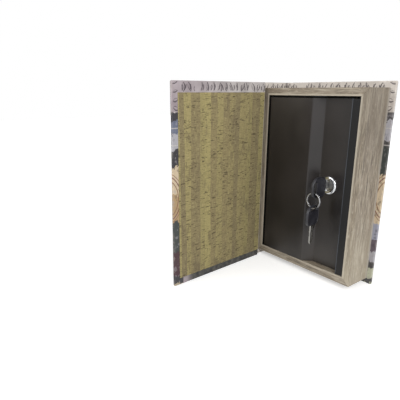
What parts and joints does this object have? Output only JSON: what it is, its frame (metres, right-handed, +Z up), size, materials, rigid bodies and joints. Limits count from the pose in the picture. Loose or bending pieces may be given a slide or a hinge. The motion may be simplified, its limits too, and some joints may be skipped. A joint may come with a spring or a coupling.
{
  "type": "book diversion safe",
  "caption": "Hardcover book whose page block is a wood-grain case round a steel box with a hinged, key-locked door.",
  "frame": {"origin": "middle of the back cover's foot, on the surface that the open book stands on", "axes": "+X from the spine to the fore edge, +Y from the reader to the back cover, +Z up along the spine"},
  "size_m": [0.1629, 0.1977, 0.24],
  "materials": {
    "cover_print": "printed imitation leather, charcoal, worn print, satin",
    "cover_board": "bare grey book board",
    "cork_lining": "laminated cork cloth in vertical strips with dark flecks",
    "wood_foil": "fibreboard in grey-beige wood-grain foil, matt",
    "black_steel": "satin black-brown paint on sheet steel",
    "zinc_steel": "zinc-plated steel",
    "chrome_plate": "polished chrome plate",
    "nickel_plate": "nickel-plated, fine lengthwise grain",
    "black_plastic": "black moulded plastic, satin"
  },
  "bodies": {
    "root": {"back_cover_wrap": "cover_print", "back_cover_board": "cover_board", "back_hinge_strip": "cover_print", "spine_core": "cover_board", "spine_wrap": "cover_print", "page_block_spine_side": "wood_foil", "page_block_fore_edge": "wood_foil", "page_block_head": "wood_foil", "page_block_foot": "wood_foil", "page_block_back": "cover_board", "steel_tray": "black_steel", "tray_screw_1": "zinc_steel", "tray_screw_2": "zinc_steel", "tray_screw_3": "zinc_steel", "tray_screw_4": "zinc_steel", "strike_bracket": "black_steel", "hinge_rod": "zinc_steel"},
    "hinge_strip": {"front_hinge_strip": "cover_print"},
    "front_cover": {"front_cover_wrap": "cover_print", "front_cover_board": "cover_board", "front_cover_lining": "cork_lining"},
    "door": {"steel_door": "black_steel", "lock_body": "chrome_plate", "lock_nut": "zinc_steel"},
    "lock_plug": {"lock_plug": "nickel_plate", "lock_cam": "zinc_steel", "cam_screw": "zinc_steel"},
    "key": {"key_head": "black_plastic", "key_blade": "nickel_plate"},
    "key_ring": {"split_ring": "chrome_plate"},
    "spare_key": {"spare_key_head": "black_plastic", "spare_key_blade": "nickel_plate"}
  },
  "joints": [
    {"name": "spine_crease", "type": "hinge", "parent": "root", "child": "hinge_strip", "pos_m": [-0.0817, -0.0439, 0.12], "axis": [0, 0, -1], "range_deg": [-22, 88]},
    {"name": "cover_crease", "type": "hinge", "parent": "hinge_strip", "child": "front_cover", "pos_m": [-0.07567, -0.04633, 0.12], "axis": [0, 0, -1], "range_deg": [-65, 0]},
    {"name": "door_hinge", "type": "hinge", "parent": "root", "child": "door", "pos_m": [-0.0658, -0.0389, 0.12], "axis": [0, 0, -1], "range_deg": [0, 65]},
    {"name": "lock_turn", "type": "hinge", "parent": "door", "child": "lock_plug", "pos_m": [0.0236, -0.033, 0.12], "axis": [0, -1, 0], "range_deg": [0, 90]},
    {"name": "key_withdraw", "type": "slide", "parent": "lock_plug", "child": "key", "axis": [0, 1, 0], "range_m": [-0.06, 0]},
    {"name": "ring_hang", "type": "hinge", "parent": "key", "child": "key_ring", "pos_m": [0.0236, -0.0594, 0.1107], "axis": [0, 1, 0], "range_deg": [0, 90]},
    {"name": "spare_swing", "type": "hinge", "parent": "key_ring", "child": "spare_key", "pos_m": [0.0236, -0.0594, 0.09655], "axis": [1, 0, 0], "range_deg": [-15, 15]}
  ],
  "couplings": [
    {"joint": "ring_hang", "follows": "lock_turn", "ratio": 1}
  ]
}
